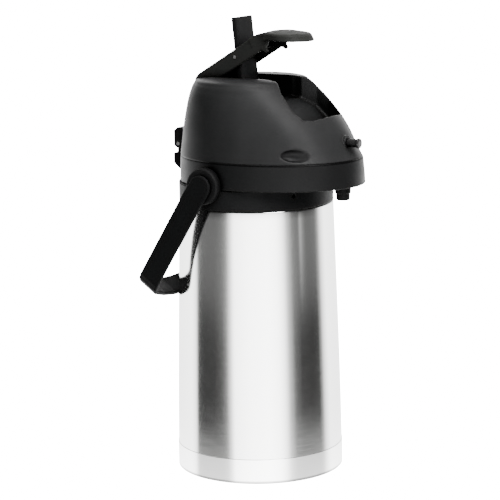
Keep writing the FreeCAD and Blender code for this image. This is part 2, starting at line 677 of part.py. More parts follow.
def lever():
    arm = [along(ARM_LENGTH, 5.0), along(ARM_LENGTH, 7.8), along(80.0, LEVER_TOP - 0.6), along(72.0, LEVER_TOP),
           along(3.0, LEVER_TOP), along(-2.0, 9.6), along(-5.5, 6.0), along(-7.0, 1.0), along(-6.0, LEVER_BOTTOM),
           along(82.5, LEVER_BOTTOM)]
    outer = side_plate(arm, -LEVER_HALF, LEVER_HALF)
    inner_half = LEVER_HALF - LEVER_WALL
    hollow = box(-inner_half, inner_half, LEVER_Y - ARM_LENGTH - 1, LEVER_Y - 8.0, 350,
                 LEVER_Z + LEVER_TOP - LEVER_WALL)
    shape = outer.cut(hollow).fuse(paddle())
    for side in (-1, 1):
        hook = side_plate([along(76.5, LEVER_BOTTOM + 0.5), along(82.5, LEVER_BOTTOM + 0.5), along(82.5, -8.0),
                           along(79.5, -8.4)], side * inner_half, side * LEVER_HALF)
        shape = shape.fuse(hook)
    rib = box(-inner_half, inner_half, LEVER_Y - 70.0, LEVER_Y - 67.6, LEVER_Z, LEVER_Z + LEVER_TOP - 1)
    link_slot = box(-LINK_HALF - 0.6, LINK_HALF + 0.6, LEVER_Y - 60.5, LEVER_Y - 43.0, LEVER_Z, LEVER_Z + 20)
    shape = shape.fuse(rib).cut(link_slot)
    shape = shape.cut(cross_rod(LEVER_PIN_RADIUS + RUNNING, LEVER_HALF + 1, LEVER_Y, LEVER_Z))
    pin_y, pin_z = along(LINK_ALONG, LINK_ABOVE)
    shape = shape.cut(cross_rod(LINK_PIN_RADIUS, LEVER_HALF + 1, pin_y, pin_z))
    return raised(shape.removeSplitter())


def link_pin():
    pin_y, pin_z = along(LINK_ALONG, LINK_ABOVE)
    return raised(cross_rod(LINK_PIN_RADIUS, LEVER_HALF + 0.4, pin_y, pin_z))


def link_pin_place():
    turn = math.radians(LEVER_RAISE)
    forward = LINK_ALONG * math.cos(turn) - LINK_ABOVE * math.sin(turn)
    up = LINK_ALONG * math.sin(turn) + LINK_ABOVE * math.cos(turn)
    return V(0, LEVER_Y - forward, LEVER_Z + up)


def push_link():
    """Flat bar through the lever; its round foot rests on the pump cap."""
    pin = link_pin_place()
    half = LINK_THICK / 2
    bar = box(-LINK_HALF, LINK_HALF, pin.y - half, pin.y + half, pin.z - LINK_BELOW, pin.z + LINK_ABOVE_PIN)
    top_edges = [e for e in bar.Edges if abs(e.BoundBox.ZMin - (pin.z + LINK_ABOVE_PIN)) < 0.01]
    bar = bar.makeFillet(0.8, top_edges)
    foot = cross_rod(half, LINK_HALF, pin.y, pin.z - LINK_BELOW)
    bar = bar.fuse(foot).cut(cross_rod(LINK_PIN_RADIUS + RUNNING, LINK_HALF + 1, pin.y, pin.z)).removeSplitter()
    bar.rotate(pin, SIDE, -LINK_LEAN)
    return bar


# --- lid release ---

def release_button():
    """Round button with a leg inside the dome that reaches down behind the catch."""
    stem = rod(BUTTON_RADIUS, V(0, BUTTON_INNER_Y, BUTTON_Z), FORWARD, BUTTON_INNER_Y - BUTTON_END_Y)
    head = rod(BUTTON_RADIUS + 0.7, V(0, BUTTON_END_Y + BUTTON_HEAD, BUTTON_Z), FORWARD, BUTTON_HEAD)
    face = [e for e in head.Edges if abs(e.BoundBox.YMax - BUTTON_END_Y) < 0.01]
    head = head.makeFillet(0.8, face)
    flange = rod(BUTTON_RADIUS + 1.6, V(0, BUTTON_INNER_Y + 1.8, BUTTON_Z), FORWARD, 1.5)
    back = BUTTON_INNER_Y + 1.8
    leg = box(-BUTTON_RADIUS, BUTTON_RADIUS, back, back + 2.0, 299.2, BUTTON_Z + 3.0)
    tooth = side_plate([(back, 299.2), (back - 6.8, 300.6), (back, 302.2)], -BUTTON_RADIUS, BUTTON_RADIUS)
    bridge = rod(BUTTON_RADIUS, V(0, back, BUTTON_Z), FORWARD, 2.0)
    return joined(stem, head, flange, leg, tooth, bridge)


# --- carrying handle ---

# Half outline of the bent strap hanging down: (half width of the U, distance below the pivot).
BAIL_OUTER = ((86.6, 0.0), (86.6, 14.0), (73.0, 118.0), (70.6, 124.5), (65.0, 129.6), (45.0, 136.0), (22.0, 140.4),
              (0.0, 141.6))
BAIL_INNER = ((82.6, 0.0), (82.6, 14.0), (69.1, 117.0), (66.9, 122.0), (63.0, 125.6), (43.9, 132.1), (21.6, 136.4),
              (0.0, 137.6))


def bail():
    """Flat strap bent to a U, drawn hanging straight down and then swung to the rear."""
    y0 = BAIL_Y - BAIL_WIDTH / 2
    right = list(BAIL_OUTER) + list(reversed(BAIL_INNER))
    strap = None
    for side in (-1, 1):
        corners = [V(side * x, y0, BAIL_Z - down) for x, down in right]
        half = Part.Face(Part.makePolygon(corners + [corners[0]])).extrude(V(0, BAIL_WIDTH, 0))
        out = V(side, 0, 0)
        ear = rod(BAIL_WIDTH / 2, V(side * BAIL_HALF, BAIL_Y, BAIL_Z), out, BAIL_THICK)
        axle = rod(TRUNNION_RADIUS, V(side * TRUNNION_END, BAIL_Y, BAIL_Z), out, BAIL_HALF + 1 - TRUNNION_END)
        hole = rod(1.4, V(side * TRUNNION_END, BAIL_Y, BAIL_Z), out, 8.1)
        half = half.fuse(ear).fuse(axle).cut(hole)
        strap = strap.fuse(half) if strap else half
    strap = strap.removeSplitter()
    strap.rotate(V(0, BAIL_Y, BAIL_Z), SIDE, BAIL_HANG)
    return strap


def trunnion_washers():
    made = []
    for side in (-1, 1):
        out = V(side, 0, 0)
        disc = rod(TRUNNION_RADIUS + 2.2, V(side * (TRUNNION_END - 1.0), BAIL_Y, BAIL_Z), out, 1.0)
        made.append(disc.cut(rod(1.4, V(side * 60, BAIL_Y, BAIL_Z), out, 20)))
    return Part.makeCompound(made)


def trunnion_screws():
    made = []
    for side in (-1, 1):
        place = [V(side * (TRUNNION_END - 1.0), BAIL_Y, BAIL_Z)]
        made.append(screws(place, 1.4, 9.0, 2.8, 1.8, V(side, 0, 0)))
    return Part.makeCompound([solid for group in made for solid in group.Solids])


PARTS = (outer_shell, bottle_bottom, inner_liner, base_band, bottom_plate, glide_ring, swivel_screw, swivel_washer,
         collar, shoulder, pivot_boss_left, pivot_boss_right, drip_deck, mouth_ring, mouth_gasket, delivery_pipe,
         dip_tube, dip_tube_foot, pipe_sleeve, tip_valve_seat, tip_valve_ball, nozzle, nozzle_seal, shoulder_screws,
         lid_hinge_pin, swivel_base, foot_ring, dome, lid_plate, lid_screws, air_valve_flap, bellows_clamp, bellows,
         return_spring, lever_hinge_pin, bellows_cap, push_pad, lever, link_pin, push_link, release_button, bail,
         trunnion_washers, trunnion_screws)


def main():
    os.makedirs("parts", exist_ok=True)
    for make in PARTS:
        shape = make()
        shape.exportStep("parts/" + make.__name__ + ".step")
        print(make.__name__, "solids", len(shape.Solids), "volume", round(shape.Volume), "valid", shape.isValid())


main()
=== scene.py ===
import json
import math
import bmesh
import bpy
import numpy as np
from mathutils import Matrix, Vector


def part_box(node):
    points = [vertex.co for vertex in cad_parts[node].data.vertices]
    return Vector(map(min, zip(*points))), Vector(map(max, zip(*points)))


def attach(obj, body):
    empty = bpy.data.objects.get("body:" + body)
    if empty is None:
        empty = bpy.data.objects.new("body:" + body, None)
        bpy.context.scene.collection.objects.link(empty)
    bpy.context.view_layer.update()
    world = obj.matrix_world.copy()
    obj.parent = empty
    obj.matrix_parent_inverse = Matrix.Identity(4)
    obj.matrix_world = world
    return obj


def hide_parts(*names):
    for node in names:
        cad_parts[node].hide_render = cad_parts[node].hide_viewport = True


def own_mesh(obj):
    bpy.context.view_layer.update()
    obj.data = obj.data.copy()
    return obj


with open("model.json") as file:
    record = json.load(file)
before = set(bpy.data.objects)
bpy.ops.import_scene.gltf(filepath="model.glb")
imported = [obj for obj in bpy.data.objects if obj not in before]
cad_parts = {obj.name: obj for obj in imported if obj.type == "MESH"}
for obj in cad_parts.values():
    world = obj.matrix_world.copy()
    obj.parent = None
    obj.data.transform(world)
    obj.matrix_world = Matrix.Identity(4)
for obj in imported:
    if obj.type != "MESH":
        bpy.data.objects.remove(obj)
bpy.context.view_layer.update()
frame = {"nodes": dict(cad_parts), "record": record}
MM = 0.001
nodes = frame["nodes"]


# --- places read from the frame, in millimetres ---

def corners(node):
    """Lowest and highest corner of a CAD node, in millimetres."""
    low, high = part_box(node)
    return [v / MM for v in low], [v / MM for v in high]


JOINT = {joint["name"]: joint for joint in frame["record"]["behaviour"]["joints"]}


def pivot(name):
    return np.array(JOINT[name]["pos_m"]) / MM


LEVER_AT = pivot("lever_press")
LID_AT = pivot("lid_open")
BAIL_AT = pivot("handle_swing")
LINK_AT = pivot("link_tilt")
LEVER_RAISE = JOINT["lever_press"]["range_deg"][1]
SHELL_LOW, SHELL_HIGH = corners("outer_shell")
COLLAR_LOW, COLLAR_HIGH = corners("collar")
DOME_LOW = corners("dome")[0]
NOZZLE_LOW, NOZZLE_HIGH = corners("nozzle")
BUTTON_LOW = corners("release_button")[0]
BAND_LOW, BAND_HIGH = corners("base_band")
SWIVEL_LOW, SWIVEL_HIGH = corners("swivel_base")

HEAD_SEAM_Z = DOME_LOW[2]
COLLAR_TOP_Z = COLLAR_HIGH[2]
COLLAR_RADIUS = 74.4
SHOULDER_TOP_Z = 307.7
BUTTON_Z = 323.3
MOUTH_RADIUS = 43.2
SPOUT_Y = (NOZZLE_LOW[1] + NOZZLE_HIGH[1]) / 2


# --- fields: signed distances in millimetres, negative inside ---

def smax(a, b, r):
    """Cut that leaves an edge rounded by about r."""
    h = np.maximum(r - np.abs(a - b), 0.0) / r
    return np.maximum(a, b) + h * h * r * 0.25


def smin(a, b, r):
    """Join whose inner corner is filled by about r."""
    return -smax(-a, -b, r)


def polygon(u, v, points):
    """Signed distance to a closed outline in the plane of u and v."""
    u, v = np.broadcast_arrays(u, v)
    best = np.full(u.shape, 1e9)
    sign = np.ones(u.shape)
    for (ax, ay), (bx, by) in zip(points, points[1:] + points[:1]):
        ex, ey = bx - ax, by - ay
        wx, wy = u - ax, v - ay
        t = np.clip((wx * ex + wy * ey) / (ex * ex + ey * ey), 0.0, 1.0)
        best = np.minimum(best, (wx - ex * t) ** 2 + (wy - ey * t) ** 2)
        above, under, turn = v >= ay, v < by, ex * wy - ey * wx
        flip = (above & under & (turn > 0)) | (~above & ~under & (turn < 0))
        sign = np.where(flip, -sign, sign)
    return sign * np.sqrt(best)


def inset(points, r):
    """The outline with every side moved inwards by r."""
    area = sum(a[0] * b[1] - b[0] * a[1] for a, b in zip(points, points[1:] + points[:1]))
    turn = 1.0 if area > 0 else -1.0
    lines = []
    for a, b in zip(points, points[1:] + points[:1]):
        dx, dy = b[0] - a[0], b[1] - a[1]
        length = math.hypot(dx, dy)
        nx, ny = -dy / length * turn, dx / length * turn
        lines.append((a[0] + nx * r, a[1] + ny * r, dx, dy))
    made = []
    for (ax, ay, ux, uy), (bx, by, vx, vy) in zip(lines[-1:] + lines[:-1], lines):
        cross = ux * vy - uy * vx
        t = ((bx - ax) * vy - (by - ay) * vx) / cross
        made.append((ax + ux * t, ay + uy * t))
    return made


def rounded(u, v, points, r):
    """The outline with its outward corners rounded by r."""
    return polygon(u, v, inset(points, r)) - r


def slab(value, low, high):
    """Layer between two values of one coordinate."""
    return np.maximum(low - value, value - high)


def brick(x, y, z, low, high, r=0.6):
    """Box with rounded edges."""
    q = [np.abs(v - (a + b) / 2) - (b - a) / 2 + r for v, a, b in zip((x, y, z), low, high)]
    outside = np.sqrt(sum(np.maximum(c, 0.0) ** 2 for c in q))
    return outside + np.minimum(np.maximum(np.maximum(q[0], q[1]), q[2]), 0.0) - r


def bar(a, b, along, low, high, radius, r=0.5):
    """Round bar; a and b are the two coordinates across it."""
    return smax(np.sqrt(a * a + b * b) - radius, slab(along, low, high), r)


def between(z, heights, values):
    """Smooth curve through the values and its slope."""
    heights = np.array(heights, float)
    values = np.array(values, float)
    slopes = np.gradient(values, heights)
    z = np.clip(z, heights[0], heights[-1])
    i = np.clip(np.searchsorted(heights, z, side="right") - 1, 0, len(heights) - 2)
    h = heights[i + 1] - heights[i]
    t = (z - heights[i]) / h
    v0, v1, m0, m1 = values[i], values[i + 1], slopes[i] * h, slopes[i + 1] * h
    value = v0 + m0 * t + (3 * (v1 - v0) - 2 * m0 - m1) * t ** 2 + (2 * (v0 - v1) + m0 + m1) * t ** 3
    slope = (m0 + 2 * (3 * (v1 - v0) - 2 * m0 - m1) * t + 3 * (2 * (v0 - v1) + m0 + m1) * t ** 2) / h
    return value, slope


NOSE_SHARE = 0.36


def egg(x, y, z, plan):
    """Distance to a head whose plan is an egg at every height: rows of height, forward, rear, half width."""
    heights = [row[0] for row in plan]
    forward, forward_slope = between(z, heights, [row[1] for row in plan])
    rear, rear_slope = between(z, heights, [row[2] for row in plan])
    half, half_slope = between(z, heights, [row[3] for row in plan])
    centre = -NOSE_SHARE * np.maximum(forward - rear, 0.0)
    behind = y > centre
    reach = np.where(behind, rear - centre, forward + centre)
    reach_slope = np.where(behind, rear_slope, forward_slope)
    u, v = x / half, (y - centre) / reach
    share = np.sqrt(u * u + v * v) + 1e-6
    across = ((u / half) ** 2 + (v / reach) ** 2) / share ** 2
    upward = ((u * u * half_slope / half + v * v * reach_slope / reach) / share) ** 2
    return (share - 1.0) / np.sqrt(across + upward + 1e-9)


# --- meshes ---

def add_object(name, mesh, body, slot_name, stands_for):
    """Piece that rides on a body, wears a material and stands for CAD nodes."""
    obj = bpy.data.objects.new(name, mesh)
    bpy.context.scene.collection.objects.link(obj)
    obj.data.materials.append(MATERIAL[slot_name])
    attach(obj, body)
    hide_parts(*stands_for)
    return obj


def mesh_of(name, places, faces):
    """Mesh from places in millimetres."""
    mesh = bpy.data.meshes.new(name)
    mesh.from_pydata((np.asarray(places) * MM).tolist(), [], faces)
    mesh.update()
    mesh.shade_smooth()
    return mesh


def cast(name, field, low, high, step, place=None):
    """Mesh of the zero surface of a field, with its points settled onto it."""
    low = np.array(low, float)
    count = np.ceil((np.array(high, float) - low) / step).astype(int) + 1
    axes = [low[a] + step * np.arange(count[a]) for a in range(3)]
    grids = np.meshgrid(*axes, indexing="ij", sparse=True)
    f = np.broadcast_to(field(*grids), tuple(count))
    inside = f < 0
    corner = [(i, j, k) for i in (0, 1) for j in (0, 1) for k in (0, 1)]
    view = [inside[i:count[0] - 1 + i, j:count[1] - 1 + j, k:count[2] - 1 + k] for i, j, k in corner]
    total = sum(v.astype(np.int8) for v in view)
    cells = np.argwhere((total > 0) & (total < 8))
    number = np.full(total.shape, -1, np.int64)
    number[tuple(cells.T)] = np.arange(len(cells))
    values = {c: f[tuple((cells + c).T)] for c in corner}
    summed = np.zeros((len(cells), 3))
    crossings = np.zeros(len(cells))
    for a in corner:
        for axis in range(3):
            if a[axis]:
                continue
            b = tuple(1 if i == axis else v for i, v in enumerate(a))
            fa, fb = values[a], values[b]
            crossed = (fa < 0) != (fb < 0)
            t = np.where(crossed, fa / np.where(crossed, fa - fb, 1.0), 0.0)
            point = np.tile(np.array(a, float), (len(cells), 1))
            point[:, axis] = t
            summed += point * crossed[:, None]
            crossings += crossed
    p = low + step * (cells + summed / crossings[:, None])
    h = step * 0.05
    for _ in range(3):
        here = field(p[:, 0], p[:, 1], p[:, 2])
        slope = np.zeros_like(p)
        for axis in range(3):
            q = p.copy()
            q[:, axis] += h
            r = p.copy()
            r[:, axis] -= h
            slope[:, axis] = (field(*q.T) - field(*r.T)) / (2 * h)
        move = -here[:, None] * slope / np.maximum((slope ** 2).sum(1), 0.05)[:, None]
        length = np.linalg.norm(move, axis=1)
        move *= np.minimum(1.0, 0.35 * step / np.maximum(length, 1e-9))[:, None]
        p = p + move
    faces = []
    for axis in range(3):
        b, c = (axis + 1) % 3, (axis + 2) % 3
        first = [slice(None)] * 3
        second = [slice(None)] * 3
        first[axis], second[axis] = slice(0, -1), slice(1, None)
        crossed = inside[tuple(first)] != inside[tuple(second)]
        at = np.argwhere(crossed)
        at = at[(at[:, b] > 0) & (at[:, c] > 0) & (at[:, b] < count[b] - 1) & (at[:, c] < count[c] - 1)]
        out = inside[tuple(at.T)]
        ring = []
        for db, dc in ((1, 1), (0, 1), (0, 0), (1, 0)):
            cell = at.copy()
            cell[:, b] -= db
            cell[:, c] -= dc
            ring.append(number[tuple(cell.T)])
        quads = np.stack(ring, 1)
        quads[~out] = quads[~out][:, ::-1]
        faces.append(quads)
    faces = np.concatenate(faces)
    if place is not None:
        p = place(p)
    return mesh_of(name, p, faces.tolist())


def turned(name, outline, segments=192, centre=(0.0, 0.0), smooth=None):
    """Outline of (radius, height) points turned about an upright line; corners rounded as asked."""
    outline = soften(outline, smooth) if smooth else outline
    angles = 2 * np.pi * np.arange(segments) / segments
    points = np.array(outline, float)
    places = np.stack([centre[0] + np.outer(np.cos(angles), points[:, 0]),
                       centre[1] + np.outer(np.sin(angles), points[:, 0]),
                       np.tile(points[:, 1], (segments, 1))], 2).reshape(-1, 3)
    n = len(points)
    faces = []
    for i in range(segments):
        j = (i + 1) % segments
        for k in range(n):
            m = (k + 1) % n
            if points[k, 0] < 1e-6 and points[m, 0] < 1e-6:
                continue
            faces.append((i * n + k, j * n + k, j * n + m, i * n + m))
    mesh = mesh_of(name, places, faces)
    weld(mesh)
    return mesh


def weld(mesh):
    """Joins doubled points, turns every face outwards and shades the mesh smoothly."""
    work = bmesh.new()
    work.from_mesh(mesh)
    bmesh.ops.remove_doubles(work, verts=work.verts, dist=1e-6)
    bmesh.ops.recalc_face_normals(work, faces=work.faces)
    work.to_mesh(mesh)
    work.free()
    mesh.update()
    mesh.shade_smooth()


def soften(outline, radius, steps=4):
    """Each real corner of a closed outline becomes a short arc with a flat run on either side."""
    made = []
    count = len(outline)
    for i in range(count):
        before, here, after = (np.array(outline[j % count], float) for j in (i - 1, i, i + 1))
        if here[0] < 1e-6:
            made.append(tuple(here))
            continue
        a, b = before - here, after - here
        reach = min(radius, 0.30 * np.linalg.norm(a), 0.30 * np.linalg.norm(b))
        a, b = a / np.linalg.norm(a), b / np.linalg.norm(b)
        if a @ b < -0.97:
            made.append(tuple(here))
            continue
        made.append(tuple(here + a * reach * 1.4))
        for s in range(steps + 1):
            t = s / steps
            made.append(tuple(here + a * reach * (1 - t) ** 2 + b * reach * t ** 2))
        made.append(tuple(here + b * reach * 1.4))
    return made


# --- materials ---

def graph(name):
    """New material with its node tree and its main shader."""
    mat = bpy.data.materials.new(name)
    mat.use_nodes = True
    tree = mat.node_tree
    shader = tree.nodes["Principled BSDF"]
    return mat, tree, shader


def node(tree, kind, **settings):
    made = tree.nodes.new(kind)
    for key, value in settings.items():
        setattr(made, key, value)
    return made


def placed(tree, scale):
    """The object's own coordinates, stretched."""
    where = node(tree, "ShaderNodeTexCoord")
    mapping = node(tree, "ShaderNodeMapping")
    mapping.inputs["Scale"].default_value = scale
    tree.links.new(where.outputs["Object"], mapping.inputs["Vector"])
    return mapping.outputs["Vector"]


def noise(tree, scale, detail=4.0, stretch=(1, 1, 1), roughness=0.55):
    made = node(tree, "ShaderNodeTexNoise")
    made.inputs["Scale"].default_value = scale
    made.inputs["Detail"].default_value = detail
    made.inputs["Roughness"].default_value = roughness
    tree.links.new(placed(tree, stretch), made.inputs["Vector"])
    return made.outputs["Fac"]


def spread(tree, value, low, high, from_low=0.3, from_high=0.7):
    """A value carried from one range to another and held at its ends."""
    made = node(tree, "ShaderNodeMapRange")
    made.inputs["From Min"].default_value = from_low
    made.inputs["From Max"].default_value = from_high
    made.inputs["To Min"].default_value = low
    made.inputs["To Max"].default_value = high
    tree.links.new(value, made.inputs["Value"])
    return made.outputs["Result"]


def tint(tree, value, dark, light):
    """Mix of two colours by a value."""
    ramp = node(tree, "ShaderNodeMix", data_type="RGBA")
    tree.links.new(value, ramp.inputs["Factor"])
    ramp.inputs["A"].default_value = (*dark, 1)
    ramp.inputs["B"].default_value = (*light, 1)
    return ramp.outputs["Result"]


def bump(tree, shader, layers):
    """Layers of (height, strength, distance in metres), chained."""
    last = None
    for height, strength, distance in layers:
        made = node(tree, "ShaderNodeBump")
        made.inputs["Strength"].default_value = strength
        made.inputs["Distance"].default_value = distance
        tree.links.new(height, made.inputs["Height"])
        if last:
            tree.links.new(last, made.inputs["Normal"])
        last = made.outputs["Normal"]
    tree.links.new(last, shader.inputs["Normal"])


def by_height(tree, colour, below, above, low, high):
    """The same colour times one share below a height and another above it."""
    place = node(tree, "ShaderNodeTexCoord").outputs["Object"]
    split = node(tree, "ShaderNodeSeparateXYZ")
    tree.links.new(place, split.inputs["Vector"])
    mixed = node(tree, "ShaderNodeMix", data_type="RGBA", blend_type="MULTIPLY")
    mixed.inputs["Factor"].default_value = 1.0
    tree.links.new(colour, mixed.inputs["A"])
    tree.links.new(spread(tree, split.outputs["Z"], below, above, low, high), mixed.inputs["B"])
    return mixed.outputs["Result"]


def painted_occlusion_shade(tree, colour, reach, closed, open_sky):
    """Painted shade: the same colour, darker where little sky is seen within reach, as in hollows and seams.
    """
    hollow = node(tree, "ShaderNodeAmbientOcclusion", samples=8)
    hollow.inputs["Distance"].default_value = reach
    shade = spread(tree, hollow.outputs["AO"], 0.06, 1.0, closed, open_sky)
    mixed = node(tree, "ShaderNodeMix", data_type="RGBA", blend_type="MULTIPLY")
    mixed.inputs["Factor"].default_value = 1.0
    tree.links.new(colour, mixed.inputs["A"])
    tree.links.new(shade, mixed.inputs["B"])
    return mixed.outputs["Result"]


def moulded(name, colour, rough, grain=0.0, specular=0.5, vary=0.12, hollows=False):
    """Moulded plastic: faint flow marks, handling haze, a fine grain, sharp edges lightened as slight rubbing
    with a painted sheen, and painted shade in seams and tight corners.
    """
    mat, tree, shader = graph(name)
    flow = noise(tree, 22.0, 3.0, (1, 1, 0.35))
    dark = [c * (1 - vary) for c in colour]
    light = [c * (1 + vary) + 0.002 for c in colour]
    base = tint(tree, spread(tree, flow, 0.0, 1.0), dark, light)
    # Sharp outer edges lightened: partly slight wear, partly a painted sheen.
    convexity = node(tree, "ShaderNodeNewGeometry").outputs["Pointiness"]
    edge = spread(tree, convexity, 0.0, 0.22, 0.515, 0.58)
    edge_wear_and_sheen = node(tree, "ShaderNodeMix", data_type="RGBA")
    tree.links.new(edge, edge_wear_and_sheen.inputs["Factor"])
    tree.links.new(base, edge_wear_and_sheen.inputs["A"])
    edge_wear_and_sheen.inputs["B"].default_value = (*[min(1.0, c * 1.4 + 0.003) for c in colour], 1)
    # Painted shade darkens seams and tight corners of every moulded part.
    shaded = painted_occlusion_shade(tree, edge_wear_and_sheen.outputs["Result"], 0.012, 0.50, 0.90)
    if hollows:
        # Painted shade in deep hollows such as the scoop, a painted dark seam line between dome and shoulder,
        # and the shoulder below the seam darker.
        shaded = painted_occlusion_shade(tree, shaded, 0.09, 0.55, 0.93)
        shaded = by_height(tree, shaded, SHOULDER_SHARE / SEAM_SHARE, 1.0, *SEAM_UNDER)
        shaded = by_height(tree, shaded, SEAM_SHARE, 1.0, *SEAM_OVER)
    tree.links.new(shaded, shader.inputs["Base Color"])
    haze = noise(tree, 60.0, 5.0)
    tree.links.new(spread(tree, haze, rough * 0.88, rough * 1.14), shader.inputs["Roughness"])
    shader.inputs["Specular IOR Level"].default_value = specular
    layers = [(noise(tree, 30.0, 2.0), 0.10, 0.0004)]
    if grain:
        layers.append((noise(tree, 1500.0, 2.0), grain, 0.00008))
    bump(tree, shader, layers)
    return mat


def brushed(name, colour, rough, lines=(1, 1, 60), vary=0.04, grain=0.25, aniso=0.0, foot_shade=None):
    """Metal brushed round the upright line, with soft smudges."""
    mat, tree, shader = graph(name)
    shader.inputs["Metallic"].default_value = 1.0
    fine = noise(tree, 40.0, 6.0, lines)
    smudge = noise(tree, 9.0, 3.0)
    colour_low = [c * (1 - vary) for c in colour]
    metal = tint(tree, spread(tree, fine, 0.0, 1.0), colour_low, colour)
    # Painted contact shade: the band's lowest edge is darkened below a height.
    if foot_shade:
        metal = by_height(tree, metal, 0.35, 1.0, *foot_shade)
    tree.links.new(metal, shader.inputs["Base Color"])
    mixed = node(tree, "ShaderNodeMath", operation="ADD")
    tree.links.new(spread(tree, fine, rough * 0.75, rough * 1.1), mixed.inputs[0])
    tree.links.new(spread(tree, smudge, -0.01, 0.03), mixed.inputs[1])
    tree.links.new(mixed.outputs["Value"], shader.inputs["Roughness"])
    if aniso:
        shader.inputs["Anisotropic"].default_value = aniso
        tangent = node(tree, "ShaderNodeTangent", direction_type="RADIAL", axis="Z")
        tree.links.new(tangent.outputs["Tangent"], shader.inputs["Tangent"])
    bump(tree, shader, [(fine, grain, 0.00002)])
    return mat


def rubbery(name, colour, rough=0.7):
    """Rubber or silicone: cloudy, dull and finely grained."""
    mat, tree, shader = graph(name)
    cloudy = noise(tree, 35.0, 4.0)
    dark = [c * 0.85 for c in colour]
    tree.links.new(tint(tree, spread(tree, cloudy, 0.0, 1.0), dark, colour), shader.inputs["Base Color"])
    tree.links.new(spread(tree, noise(tree, 180.0, 3.0), rough * 0.85, min(1.0, rough * 1.1)),
                   shader.inputs["Roughness"])
    shader.inputs["Specular IOR Level"].default_value = 0.35
    bump(tree, shader, [(noise(tree, 700.0, 2.0), 0.3, 0.0001)])
    return mat


# Heights in metres: where the band's lowest edge is darkened as painted contact shade, and the painted shade
# along the seam between dome and shoulder, below which the shoulder is darker.
BAND_FOOT_SHADE = (0.0030, 0.0042)
SEAM_UNDER = (0.3058, 0.3064)
SEAM_OVER = (0.3080, 0.3088)
SHOULDER_SHARE = 0.552
SEAM_SHARE = 0.12

MATERIAL = {
    "shell_steel": brushed("shell_steel", (0.80, 0.80, 0.79), 0.11, (1, 1, 55), aniso=0.5),
    "band_steel": brushed("band_steel", (0.84, 0.84, 0.83), 0.14, (1, 1, 40), aniso=0.3, foot_shade=BAND_FOOT_SHADE),
    "liner_steel": brushed("liner_steel", (0.70, 0.70, 0.69), 0.32, (1, 1, 20)),
    "head_black": moulded("head_black", (0.021, 0.021, 0.0213), 0.36, specular=0.04, hollows=True),
    "collar_black": moulded("collar_black", (0.008, 0.008, 0.0082), 0.50, grain=0.25, specular=0.04),
    "handle_black": moulded("handle_black", (0.007, 0.007, 0.0072), 0.52, grain=0.3, specular=0.02),
    "lever_grey": moulded("lever_grey", (0.021, 0.0213, 0.0200), 0.46, grain=0.2, specular=0.03),
    "link_black": moulded("link_black", (0.009, 0.009, 0.0092), 0.45, grain=0.2, specular=0.02),
    "button_grey": moulded("button_grey", (0.02, 0.02, 0.02), 0.32, specular=0.2),
    "inner_plastic": moulded("inner_plastic", (0.12, 0.12, 0.125), 0.5, grain=0.25),
    "pipe_plastic": moulded("pipe_plastic", (0.80, 0.80, 0.76), 0.3),
    "glide_plastic": moulded("glide_plastic", (0.82, 0.82, 0.80), 0.45, grain=0.15),
    "seal_rubber": rubbery("seal_rubber", (0.48, 0.48, 0.46)),
    "foot_rubber": rubbery("foot_rubber", (0.03, 0.03, 0.03)),
    "bellows_rubber": rubbery("bellows_rubber", (0.58, 0.58, 0.55), 0.5),
    "pin_steel": brushed("pin_steel", (0.86, 0.86, 0.86), 0.16, (60, 1, 1)),
    "screw_steel": brushed("screw_steel", (0.55, 0.55, 0.56), 0.32, (8, 8, 8)),
    "spring_steel": brushed("spring_steel", (0.58, 0.58, 0.59), 0.28, (20, 20, 20)),
}

for part in frame["record"]["subparts"]:
    kept = nodes[part["node"]]
    for index in range(max(1, len(kept.data.materials))):
        if len(kept.data.materials) <= index:
            kept.data.materials.append(MATERIAL[part["material_slot"]])
        kept.data.materials[index] = MATERIAL[part["material_slot"]]


# --- vessel ---

def arc_radius(z):
    """Radius of the shell's gently bowed wall."""
    value, _ = between(np.array([float(z)]), (25.0, 70.0, 115.0, 160.0, 205.0, 240.0, 260.0),
                       (80.2, 79.47, 78.45, 77.25, 75.93, 74.92, 74.3))
    return float(value[0])


def make_shell():
    wall = 0.8
    seam = SHELL_LOW[2]
    outer = [(arc_radius(z), z) for z in np.linspace(seam, 260.0, 34)]
    top = [(74.2, 261.4), (74.0, 261.8), (73.5, 262.0), (70.6, 262.0), (66.0, 270.0), (42.0, 274.0),
           (33.8, 277.0), (33.8, SHELL_HIGH[2])]
    under = [(33.0, SHELL_HIGH[2]), (33.0, 276.4), (41.5, 272.8), (65.2, 269.4), (69.8, 261.4)]
    inner = [(arc_radius(z) - wall, z) for z in np.linspace(260.0, seam, 12)]
    mesh = turned("outer_shell_skin", outer + top + under + inner, 256, smooth=0.12)
    add_object("outer_shell_skin", mesh, "vessel", "shell_steel", ["outer_shell"])


def make_band():
    low, high = BAND_LOW[2], BAND_HIGH[2]
    r = BAND_HIGH[0]
    outline = [(r - 2.2, low), (r - 0.8, low), (r, low + 0.8), (r, high - 0.1), (r - 0.1, high),
               (r - 1.6, high),
               (r - 1.2, high - 1.2), (r - 1.2, low + 2.2), (r - 2.2, low + 1.2)]
    mesh = turned("base_band_skin", outline, 256, smooth=0.06)
    add_object("base_band_skin", mesh, "vessel", "band_steel", ["base_band"])


